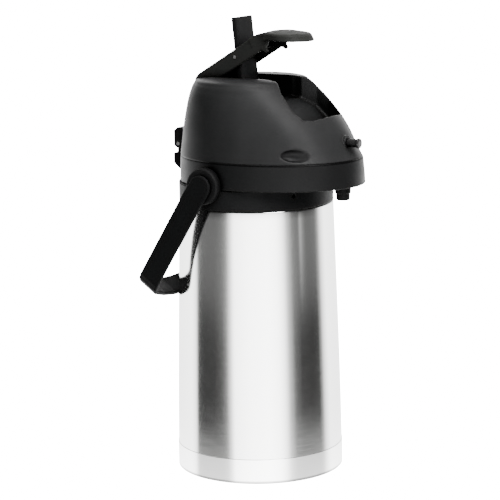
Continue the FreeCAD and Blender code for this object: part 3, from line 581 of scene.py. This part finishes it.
def make_collar():
    r = COLLAR_RADIUS
    low = COLLAR_LOW[2]
    outline = [(r - 2.4, low), (r, low), (r, COLLAR_TOP_Z), (43.0, COLLAR_TOP_Z), (43.0, COLLAR_TOP_Z - 3.0),
               (r - 3.0, COLLAR_TOP_Z - 3.0), (r - 2.4, COLLAR_TOP_Z - 4.0)]
    vent_way = np.array([-36.0, -60.0, 0.0]) / math.hypot(36.0, 60.0)

    def field(x, y, z):
        around = np.sqrt(x * x + y * y)
        body = rounded(around, z, outline, 0.7)
        along = x * vent_way[0] + y * vent_way[1]
        off = x * vent_way[1] - y * vent_way[0]
        vent = np.maximum(np.sqrt(off * off + (z - 276.0) ** 2) - 1.6, 60.0 - along)
        return smax(body, -vent, 0.6)
    mesh = cast("collar_skin", field, (-76, -76, 260), (76, 76, 288), 0.9)
    add_object("collar_skin", mesh, "vessel", "collar_black", ["collar"])


SHOULDER_PLAN = ((282.5, 111.6, 74.4, 75.0), (296.0, 110.7, 74.0, 74.5), (SHOULDER_TOP_Z, 109.4, 73.5, 74.0))
DOME_PLAN = ((308.0, 108.8, 73.4, 73.9), (314.0, 105.2, 72.6, 73.1), (322.0, 100.9, 71.5, 72.1),
             (335.0, 93.7, 69.7, 70.3), (350.0, 82.2, 66.8, 67.4), (362.0, 70.3, 63.8, 64.5),
             (371.0, 59.5, 60.6, 61.4), (377.0, 51.5, 57.6, 58.4), (380.5, 44.5, 53.8, 54.6),
             (382.0, 38.0, 48.0, 48.8))
KNUCKLE_HALF = 5.7
LUG_HALF = 11.0


def make_shoulder():
    floor_z = COLLAR_TOP_Z + 2.5

    def field(x, y, z):
        outside = egg(x, y, z, SHOULDER_PLAN)
        body = smax(outside, slab(z, COLLAR_TOP_Z, SHOULDER_TOP_Z), 1.0)
        hollow = smax(outside + 2.5, floor_z - z, 1.0)
        body = smax(body, -hollow, 0.8)
        lug_outline = [(70.0, 288.8), (80.5, 288.8), (87.2, 294.5), (87.2, 304.5), (70.0, 304.5)]
        lug_side = rounded(y, z, lug_outline, 1.0)
        lug = smax(smax(lug_side, np.abs(x) - LUG_HALF, 1.0), -hollow, 0.5)
        neck = smax(rounded(y, z, [(77.3, 300.0), (85.7, 300.0), (85.7, 313.6), (77.3, 313.6)], 0.5),
                    np.abs(x) - KNUCKLE_HALF, 0.6)
        knuckle = bar(y - LID_AT[1], z - LID_AT[2], x, -KNUCKLE_HALF, KNUCKLE_HALF, 4.2, 0.6)
        body = smin(body, smin(lug, np.minimum(neck, knuckle), 1.2), 1.6)
        catch = brick(x, y, z, (-9.0, -99.6, floor_z - 1), (9.0, -97.2, 303.0), 0.5)
        catch = np.maximum(catch, 5.0 - np.sqrt(x * x + (z - 293.0) ** 2))
        body = smin(body, np.maximum(catch, outside), 1.0)
        mouth = MOUTH_RADIUS - np.sqrt(x * x + y * y)
        spout = 6.3 - np.sqrt(x * x + (y - SPOUT_Y) ** 2)
        return smax(smax(body, mouth, 0.6), spout, 0.4)
    mesh = cast("shoulder_skin", field, (-77, -114, 280.5), (77, 89, 319.5), 0.9)
    add_object("shoulder_skin", mesh, "vessel", "head_black", ["shoulder"])


def make_bosses():
    for side, node_name in ((-1, "pivot_boss_left"), (1, "pivot_boss_right")):
        face = corners(node_name)[1][0] if side > 0 else -corners(node_name)[0][0]

        def field(x, y, z):
            out = x * side
            away = np.sqrt((y - BAIL_AT[1]) ** 2 + (z - BAIL_AT[2]) ** 2)
            disc = smax(away - 17.0, slab(out, 60.0, face), 2.2)
            disc = smax(disc, 6.1 - away, 0.4)
            in_collar = COLLAR_RADIUS - np.sqrt(x * x + y * y)
            buried = np.where(z > COLLAR_TOP_Z, -egg(x, y, z, SHOULDER_PLAN), in_collar) - 0.8
            return np.maximum(disc, buried)
        x0, x1 = (-84.0, -62.0) if side < 0 else (62.0, 84.0)
        mesh = cast(node_name + "_skin", field, (x0, -9, 266), (x1, 31, 305), 0.55)
        add_object(node_name + "_skin", mesh, "vessel", "collar_black", [node_name])


def make_nozzle():
    top = COLLAR_TOP_Z
    low = NOZZLE_LOW[2]
    outline = [(3.6, low), (5.8, low), (6.4, low + 1.0), (6.6, 274.8), (7.5, 275.8), (7.7, top - 0.2),
               (6.25, top), (6.25, top + 2.5), (4.55, top + 2.5), (4.55, 278.0), (3.6, 277.0)]
    mesh = turned("nozzle_skin", outline, 72, (0.0, SPOUT_Y), smooth=0.45)
    add_object("nozzle_skin", mesh, "vessel", "collar_black", ["nozzle"])


# --- lid ---

CHANNEL_HALF = 21.6
CHANNEL_FLOOR_Z = 362.0
SCOOP_SIDE = [(-30.0, 362.0), (-36.0, 361.0), (-48.0, 352.0), (-64.0, 334.5), (-76.0, 333.5), (-83.5, 344.0),
              (-100.0, 373.0), (-100.0, 400.0), (-30.0, 400.0)]
SCOOP_PLAN = [(-21.6, -26.0), (-24.0, -38.0), (-33.6, -49.0), (-37.3, -60.0), (-37.2, -66.0), (-34.5, -73.0),
              (-27.0, -78.3), (-14.0, -82.4), (0.0, -83.5), (14.0, -82.4), (27.0, -78.3), (34.5, -73.0),
              (37.2, -66.0), (37.3, -60.0), (33.6, -49.0), (24.0, -38.0), (21.6, -26.0)]


def make_dome():
    def field(x, y, z):
        outside = egg(x, y, z, DOME_PLAN)
        outside = smax(outside, z - 382.0, 3.0)
        channel = smax(np.abs(x) - CHANNEL_HALF, slab(y, -38.0, 56.2), 3.0)
        channel = smax(channel, CHANNEL_FLOOR_Z - z, 2.5)
        scoop = smax(rounded(y, z, SCOOP_SIDE, 2.0), polygon(x, y, SCOOP_PLAN), 3.5)
        void = smin(channel, scoop, 3.0)
        cavity = np.maximum(outside + 3.0, 2.5 - void)
        body = smax(outside, HEAD_SEAM_Z - z, 1.0)
        for side in (-1, 1):
            turn = math.radians(29.0)
            ax, ay = x - side * 52.9, y + 76.0
            across = ax * math.cos(turn) - side * ay * math.sin(turn)
            forward = side * ax * math.sin(turn) + ay * math.cos(turn)
            grip = np.sqrt((across / 4.6) ** 2 + (forward / 15.0) ** 2 + ((z - 316.3) / 6.2) ** 2)
            body = smax(body, (1.0 - grip) * 4.6, 0.8)
            cavity = np.maximum(cavity, (1.45 - grip) * 5.0)
        lug_side = rounded(y, z, [(62.0, 309.5), (83.4, 309.5), (86.5, 311.4), (86.5, 326.5), (83.0, 329.5),
                                  (62.0, 329.5)], 1.0)
        ears = smax(lug_side, slab(np.abs(x), KNUCKLE_HALF + 0.35, LUG_HALF), 0.9)
        bridge_outline = [(62.0, 318.9), (86.5, 318.9), (86.5, 326.5), (83.0, 329.5), (62.0, 329.5)]
        bridge_side = rounded(y, z, bridge_outline, 0.8)
        bridge = smax(bridge_side, np.abs(x) - LUG_HALF, 0.9)
        lugs = np.minimum(ears, bridge)
        bore = 2.15 - np.sqrt((y - LID_AT[1]) ** 2 + (z - LID_AT[2]) ** 2)
        lugs = smax(lugs, bore, 0.3)
        body = smin(body, lugs, 2.0)
        guide = bar(x, z - BUTTON_Z, -y, 91.2, 101.2, 6.5, 0.9)
        body = smin(np.maximum(body, -cavity), guide, 1.0)
        button_way = np.maximum(np.sqrt(x * x + (z - BUTTON_Z) ** 2), np.where(-y < 85.0, 99.0, 0.0))
        body = smax(body, 4.05 - button_way, 0.5)
        window = smax(np.abs(x) - 16.2, slab(y, -8.5, 14.0), 0.8)
        window = np.maximum(window, slab(z, 356.0, 366.0))
        body = smax(body, -void, 1.7)
        return smax(body, -window, 0.6)
    mesh = cast("dome_skin", field, (-76, -111, 306), (76, 89, 384.5), 1.1)
    add_object("dome_skin", mesh, "lid", "head_black", ["dome"])


def make_button():
    def field(x, y, z):
        dz = z - BUTTON_Z
        stem = bar(x, dz, -y, 91.2, -BUTTON_LOW[1] - 0.2, 4.0, 1.2)
        head = bar(x, dz, -y, -BUTTON_LOW[1] - 3.2, -BUTTON_LOW[1] - 0.2, 4.7, 0.9)
        stem = smin(stem, head, 0.5)
        flange = bar(x, dz, -y, 89.4, 90.9, 5.6, 0.4)
        leg = brick(x, y, z, (-4.0, -89.4, 299.2), (4.0, -87.4, 326.0), 0.6)
        tooth = smax(polygon(y, z, [(-89.4, 299.2), (-96.0, 300.6), (-89.4, 302.2)]), np.abs(x) - 4.0, 0.5)
        core = bar(x, dz, -y, 87.4, 92.0, 4.0, 0.4)
        return np.minimum(smin(np.minimum(stem, core), flange, 0.5), smin(leg, tooth, 0.8))
    mesh = cast("release_button_skin", field, (-7, -116, 297.5), (7, -85.5, 330), 0.4)
    add_object("release_button_skin", mesh, "button", "button_grey", ["release_button"])


# --- lever ---

def pressed_to_rest(p):
    """Turns points drawn about the lever hinge, lever pressed, up to the rest position."""
    turn = math.radians(LEVER_RAISE)
    x, y, z = p.T
    dy, dz = y, z
    return np.stack([x, LEVER_AT[1] + dy * math.cos(turn) + dz * math.sin(turn),
                     LEVER_AT[2] - dy * math.sin(turn) + dz * math.cos(turn)], 1)


LEVER_HALF = 20.0
LEVER_WALL = 2.6
PADDLE_HALF = 23.5
PADDLE_END = 118.0


def paddle_plan():
    """Half outline of the paddle: (half width, distance)."""
    made = [(LEVER_HALF, 70.0)]
    for s in np.linspace(0.0, 1.0, 9):
        made.append((LEVER_HALF + (PADDLE_HALF - LEVER_HALF) * math.sin(s * math.pi / 2), 80.0 + 18.0 * s))
    for s in np.linspace(0.08, 1.0, 16):
        made.append((PADDLE_HALF * math.sqrt(max(0.0, 1 - math.sin(s * math.pi / 2) ** 2)),
                     98.0 + (PADDLE_END - 98.0) * math.sin(s * math.pi / 2)))
    return made


def make_lever():
    top = [(66.0, 11.2), (76.0, 11.2), (83.0, 10.7), (88.0, 9.4), (96.5, 5.2), (104.5, -0.6), (112.0, -6.6),
           (118.0, -12.2), (121.5, -15.8)]
    half = paddle_plan()
    plan = half + [(-x, d) for x, d in reversed(half[:-1])]

    def field(x, y, z):
        d = -y
        droop = 3.2 * np.clip((d - 76.0) / 22.0, 0.0, 1.0) * (np.abs(x) / PADDLE_HALF) ** 2.2
        h = z + droop
        arm_side = rounded(d, z, [(88.0, -1.0), (88.0, 7.6), (80.0, 10.6), (72.0, 11.2), (3.0, 11.2),
                                  (-2.0, 9.6), (-5.5, 6.0), (-7.0, 1.0), (-6.0, -4.3), (82.5, -4.3)], 1.6)
        arm = smax(arm_side, np.abs(x) - LEVER_HALF, 1.6)
        inner_half = LEVER_HALF - LEVER_WALL
        hollow = smax(smax(np.abs(x) - inner_half, slab(d, 8.0, 140.0), 1.0), z - (11.2 - LEVER_WALL), 1.0)
        arm = smax(arm, -hollow, 0.8)
        skirt = polygon(d, h, top + [(q, v - 8.0) for q, v in reversed(top)])
        outline = polygon(x, d, plan)
        rim = smax(smax(skirt, outline, 2.0), -(outline + LEVER_WALL), 0.8)
        rim = np.maximum(rim, -np.maximum(np.maximum(np.abs(x) - LEVER_HALF, d - 88.0), h - 8.6))
        plate = smax(polygon(d, h, top + [(q, v - LEVER_WALL) for q, v in reversed(top)]), outline, 2.0)
        body = smin(arm, smin(rim, plate, 1.2), 1.6)
        hook_side = polygon(d, z, [(76.5, -3.0), (82.5, -3.0), (82.5, -8.0), (79.5, -8.4)])
        hook = smax(hook_side, slab(np.abs(x), inner_half, LEVER_HALF), 0.6)
        body = smin(body, hook, 1.0)
        rib = brick(x, d, z, (-inner_half, 67.6, 0.0), (inner_half, 70.0, 10.0), 0.4)
        body = smin(body, rib, 0.8)
        slot = smax(np.abs(x) - 15.8, slab(d, 43.0, 60.5), 1.0)
        body = smax(body, -np.maximum(slot, -z), 0.7)
        body = smax(body, 2.05 - np.sqrt(d * d + z * z), 0.3)
        body = smax(body, 1.6 - np.sqrt((d - 48.0) ** 2 + (z - 4.7) ** 2), 0.3)
        return body
    mesh = cast("lever_skin", field, (-26, -122, -26), (26, 9, 14), 0.6, pressed_to_rest)
    add_object("lever_skin", mesh, "lever", "lever_grey", ["lever"])


def make_link():
    lean = math.radians(6.0)

    def upright(p):
        x, y, z = p.T
        return np.stack([x, LINK_AT[1] + y * math.cos(lean) + z * math.sin(lean),
                         LINK_AT[2] - y * math.sin(lean) + z * math.cos(lean)], 1)

    def field(x, y, z):
        plate = brick(x, y, z, (-15.2, -2.75, -47.0), (15.2, 2.75, 37.0), 1.0)
        foot = bar(y, z + 47.0, x, -15.2, 15.2, 2.75, 0.6)
        body = np.minimum(plate, foot)
        return smax(body, 1.65 - np.sqrt(y * y + z * z), 0.3)
    mesh = cast("push_link_skin", field, (-17, -5, -52), (17, 5, 39), 0.45, upright)
    add_object("push_link_skin", mesh, "link", "link_black", ["push_link"])


# --- handle ---

# The handle's outside and inside, as half outlines of (distance from the middle, distance down).
BAIL_OUTER = [(86.6, -13.0), (86.6, 14.0), (73.0, 118.0), (70.6, 124.5), (65.0, 129.6), (45.0, 136.0),
              (22.0, 140.4), (0.0, 141.6)]
BAIL_INNER = [(82.6, -13.0), (82.6, 14.0), (69.1, 117.0), (66.9, 122.0), (63.0, 125.6), (43.9, 132.1),
              (21.6, 136.4), (0.0, 137.6)]
BAIL_HANG = 35.3
BAIL_HALF_WIDTH = 11.2


def make_bail():
    def mirrored(half):
        return half + [(-x, d) for x, d in reversed(half[:-1])]
    outer, inner = mirrored(BAIL_OUTER), mirrored(BAIL_INNER)
    hang = math.radians(BAIL_HANG)

    def swung(p):
        x, y, z = p.T
        return np.stack([x, BAIL_AT[1] + y * math.cos(hang) - z * math.sin(hang),
                         BAIL_AT[2] + y * math.sin(hang) + z * math.cos(hang)], 1)

    def field(x, y, z):
        down = -z
        u = smax(polygon(x, down, outer), -polygon(x, down, inner), 0.4)
        ear = np.sqrt(y * y + z * z) - BAIL_HALF_WIDTH
        width = np.where(down < 0.0, ear, np.abs(y) - BAIL_HALF_WIDTH)
        strap = smax(u, width, 1.6)
        away = np.sqrt(y * y + z * z)
        axle = smax(away - 6.0, slab(np.abs(x), 70.0, 84.0), 0.5)
        return np.minimum(strap, axle)
    mesh = cast("bail_skin", field, (-88, -13, -144), (88, 13, 13), 0.65, swung)
    add_object("bail_skin", mesh, "handle", "handle_black", ["bail"])


# --- base ---

def make_base():
    r = SWIVEL_HIGH[0]
    z0, z1 = SWIVEL_LOW[2], 6.0
    outline = [(4.05, 5.5), (9.4, 5.5), (9.4, z0), (64.0, z0), (64.0, 3.6), (74.0, 3.6), (74.0, z0),
               (r - 0.8, z0), (r, z0 + 0.8), (r, z1 - 0.6), (r - 0.6, z1), (14.0, z1),
               (13.0, 10.0), (4.05, 10.0)]
    mesh = turned("swivel_base_skin", outline, 192, smooth=0.35)
    add_object("swivel_base_skin", mesh, "base", "collar_black", ["swivel_base"])
    foot = [(64.0, 0.6), (64.6, 0.0), (67.6, 0.0), (68.2, 0.5), (69.8, 0.5), (70.4, 0.0), (73.4, 0.0),
            (74.0, 0.6), (74.0, 3.6), (64.0, 3.6)]
    mesh = turned("foot_ring_skin", foot, 192, smooth=0.2)
    add_object("foot_ring_skin", mesh, "base", "foot_rubber", ["foot_ring"])


def make_pump_softs():
    """Bellows and return spring, copied unchanged from their CAD meshes; the real ones shorten towards their
    fixed lower ends as the pump goes down.
    """
    slot_of = {part["node"]: part["material_slot"] for part in frame["record"]["subparts"]}
    for row in JOINT["pump_stroke"]["deforming_nodes"]:
        name, fixed = row["node"], row["fixed_end_z_m"]
        mesh = nodes[name].data.copy()
        mesh.materials.clear()
        piece = add_object(name + "_skin", mesh, "lid", slot_of[name], [name])
        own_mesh(piece)


make_shell()
make_band()
make_collar()
make_shoulder()
make_bosses()
make_nozzle()
make_dome()
make_button()
make_lever()
make_link()
make_bail()
make_base()
make_pump_softs()

for name in ("mouth_ring", "lid_plate", "drip_deck", "bellows_cap", "push_pad", "link_pin", "lid_hinge_pin",
             "lever_hinge_pin", "mouth_gasket", "bottom_plate", "air_valve_flap"):
    edge = nodes[name].modifiers.new("edges", "BEVEL")
    edge.width = 0.0003
    edge.segments = 2
    edge.limit_method = "ANGLE"
    edge.harden_normals = True


# --- stage ---

def flat_sheet(name, size, z):
    mesh = bpy.data.meshes.new(name)
    places = [(-size, -size, z), (size, -size, z), (size, size, z), (-size, size, z)]
    mesh.from_pydata(places, [], [(0, 1, 2, 3)])
    obj = bpy.data.objects.new(name, mesh)
    bpy.context.scene.collection.objects.link(obj)
    return obj


def make_stage():
    """A pale floor for the eye, and a dull one under it that throws soft light back up."""
    floor = flat_sheet("floor", 30.0, 0.0)
    mat, tree, shader = graph("pale_floor")
    tree.links.new(tint(tree, noise(tree, 3.0, 3.0), (0.90, 0.90, 0.90), (0.92, 0.92, 0.92)),
                   shader.inputs["Base Color"])
    shader.inputs["Roughness"].default_value = 0.9
    shader.inputs["Specular IOR Level"].default_value = 0.1
    shader.inputs["Emission Color"].default_value = (1, 1, 1, 1)
    shader.inputs["Emission Strength"].default_value = FLOOR_GLOW
    floor.data.materials.append(mat)
    floor.visible_glossy = False
    floor.visible_diffuse = False
    under = flat_sheet("under_floor", 30.0, -0.002)
    mat, tree, shader = graph("dull_floor")
    tree.links.new(tint(tree, noise(tree, 3.0, 3.0), (0.16, 0.16, 0.16), (0.18, 0.18, 0.18)),
                   shader.inputs["Base Color"])
    shader.inputs["Roughness"].default_value = 0.8
    under.data.materials.append(mat)
    under.visible_camera = False
    under.visible_glossy = False


CAMERA_AZIMUTH = -59.0
CAMERA_PITCH = 10.71
CAMERA_YAW = 0.20
CAMERA_ROLL = -0.99
CAMERA_LENS = 153.0
CAMERA_DISTANCE = 2.026
CAMERA_HEIGHT = 0.596
FLOOR_GLOW = 20.0
WALL_TOP = 10.0
# Studio walls: (bearing from the camera in degrees, brightness).
WALLS = ((-180, 4.0), (-135, 5.0), (-112, 5.5), (-103, 4.0), (-97, 0.10), (-85, 0.05), (-66, 0.05),
         (-54, 0.12), (-46, 0.35), (-40, 2.2), (-35, 6.5), (-12, 8.5), (14, 9.5), (28, 8.0), (36, 5.0),
         (43, 1.2), (52, 0.20), (64, 0.06), (84, 0.05), (95, 0.08), (101, 0.5), (108, 2.8),
         (117, 5.0), (180, 4.0))
# Share of that brightness by height: (sine of the elevation, share).
RISE = ((-1.0, 0.05), (-0.60, 0.12), (-0.42, 0.8), (-0.33, 1.0), (-0.10, 1.0), (-0.05, 0.45), (0.02, 0.10),
        (0.20, 0.05), (0.45, 0.02), (1.0, 0.01))
# Glow of the floor in front of the dark walls: (sine of the elevation, brightness).
FLOOR_FILL = ((-0.34, 3.0), (-0.295, 3.0), (-0.275, 1.4), (-0.262, 0.34), (-0.250, 0.04), (-0.235, 0.0),
              (-0.185, 0.0), (-0.172, 0.04), (-0.155, 0.16), (-0.13, 0.20), (-0.10, 0.10), (-0.07, 0.0))
FILL_TOP = 3.0
# Narrow bright gap in the right-hand wall: (bearing, share) and (sine of the elevation, share).
GAP_SIDES = ((56, 0.0), (63, 0.0), (66, 1.0), (69, 0.3), (75, 0.0))
GAP_HEIGHT = ((-0.34, 0.0), (-0.152, 0.0), (-0.144, 1.0), (-0.12, 1.0), (-0.08, 0.0))
GAP_GLOW = 0.8
# Pale sky behind the pot, mirrored by faces that look up.
BACK_SIDES = ((-180, 1.0), (-150, 1.0), (-125, 0.0), (125, 0.0), (150, 1.0), (180, 1.0))
BACK_HEIGHT = ((-0.04, 0.0), (0.04, 1.0), (0.32, 1.0), (0.6, 0.0))
BACK_GLOW = 2.8


def profile(tree, value, points, unit=1.0):
    """Curve through (value, height) points, with heights given in the stated unit."""
    low, high = points[0][0], points[-1][0]
    scaled = node(tree, "ShaderNodeMapRange")
    scaled.inputs["From Min"].default_value = low
    scaled.inputs["From Max"].default_value = high
    tree.links.new(value, scaled.inputs["Value"])
    curve = node(tree, "ShaderNodeFloatCurve")
    line = curve.mapping.curves[0]
    places = [((x - low) / (high - low), y / unit) for x, y in points]
    line.points[0].location = places[0]
    line.points[1].location = places[-1]
    for place in places[1:-1]:
        line.points.new(*place)
    for point in line.points:
        point.handle_type = "VECTOR"
    curve.mapping.update()
    tree.links.new(scaled.outputs["Result"], curve.inputs["Value"])
    return sums(tree, "MULTIPLY", curve.outputs["Value"], unit)


def sums(tree, operation, first, second):
    """One arithmetic node; the second value may be a number or a socket."""
    made = node(tree, "ShaderNodeMath", operation=operation)
    tree.links.new(first, made.inputs[0])
    if isinstance(second, (int, float)):
        made.inputs[1].default_value = second
    else:
        tree.links.new(second, made.inputs[1])
    return made.outputs["Value"]


def make_world():
    """Studio round the pot: bright walls, dark gaps and a pale floor line, placed by bearing and height."""
    world = bpy.data.worlds.new("studio")
    bpy.context.scene.world = world
    world.use_nodes = True
    tree = world.node_tree
    back = tree.nodes["Background"]
    back.inputs["Color"].default_value = (1, 1, 1, 1)
    where = node(tree, "ShaderNodeTexCoord")
    turn = node(tree, "ShaderNodeMapping")
    turn.inputs["Rotation"].default_value = (0, 0, math.radians(90.0 - CAMERA_AZIMUTH))
    tree.links.new(where.outputs["Generated"], turn.inputs["Vector"])
    around = node(tree, "ShaderNodeTexGradient", gradient_type="RADIAL")
    tree.links.new(turn.outputs["Vector"], around.inputs["Vector"])
    bearing = sums(tree, "MULTIPLY_ADD", around.outputs["Fac"], 360.0)
    bearing.node.inputs[2].default_value = -180.0
    parts = node(tree, "ShaderNodeSeparateXYZ")
    tree.links.new(where.outputs["Generated"], parts.inputs["Vector"])
    z = parts.outputs["Z"]
    glow = sums(tree, "MULTIPLY", profile(tree, bearing, WALLS, WALL_TOP), profile(tree, z, RISE))
    glow = sums(tree, "ADD", glow, profile(tree, z, FLOOR_FILL, FILL_TOP))
    gap = sums(tree, "MULTIPLY", profile(tree, bearing, GAP_SIDES), profile(tree, z, GAP_HEIGHT))
    glow = sums(tree, "ADD", glow, sums(tree, "MULTIPLY", gap, GAP_GLOW))
    sky = sums(tree, "MULTIPLY", profile(tree, bearing, BACK_SIDES), profile(tree, z, BACK_HEIGHT))
    glow = sums(tree, "ADD", glow, sums(tree, "MULTIPLY", sky, BACK_GLOW))
    seen = node(tree, "ShaderNodeLightPath")
    pick = node(tree, "ShaderNodeMix", data_type="FLOAT")
    tree.links.new(seen.outputs["Is Camera Ray"], pick.inputs[0])
    tree.links.new(glow, pick.inputs[2])
    pick.inputs[3].default_value = FLOOR_GLOW + 1.0
    tree.links.new(pick.outputs[0], back.inputs["Strength"])


def ray_camera():
    """Camera in front and to the left of the pot, a little above it and looking slightly down."""
    cam = bpy.data.cameras.new("camera")
    cam.lens = CAMERA_LENS
    cam.sensor_width = 36.0
    cam.clip_end = 20.0
    obj = bpy.data.objects.new("camera", cam)
    bpy.context.scene.collection.objects.link(obj)
    a = math.radians(CAMERA_AZIMUTH)
    pitch, yaw, roll = math.radians(CAMERA_PITCH), math.radians(CAMERA_YAW), math.radians(CAMERA_ROLL)
    obj.location = (CAMERA_DISTANCE * math.sin(a), -CAMERA_DISTANCE * math.cos(a), CAMERA_HEIGHT)
    heading = Matrix.Rotation(a + yaw, 4, "Z")
    tilt = Matrix.Rotation(math.pi / 2 - pitch, 4, "X")
    spin = Matrix.Rotation(roll, 4, "Z")
    obj.matrix_world = Matrix.Translation(obj.location) @ heading @ tilt @ spin
    bpy.context.scene.camera = obj


def light(name, place, target, size, power, size_y):
    """Soft rectangular lamp aimed at a target."""
    data = bpy.data.lights.new(name, "AREA")
    data.energy = power
    data.shape = "RECTANGLE"
    data.size = size
    data.size_y = size_y
    obj = bpy.data.objects.new(name, data)
    bpy.context.scene.collection.objects.link(obj)
    obj.location = place
    obj.rotation_euler = (Vector(target) - Vector(place)).to_track_quat("-Z", "Y").to_euler()


make_stage()
make_world()
ray_camera()
light("strip", (-0.60, -1.08, 1.82), (0, 0, 0.35), 0.75, 110, 1.9)
light("overhead", (0.70, -0.05, 2.3), (0, 0, 0.40), 0.8, 18, 0.8)
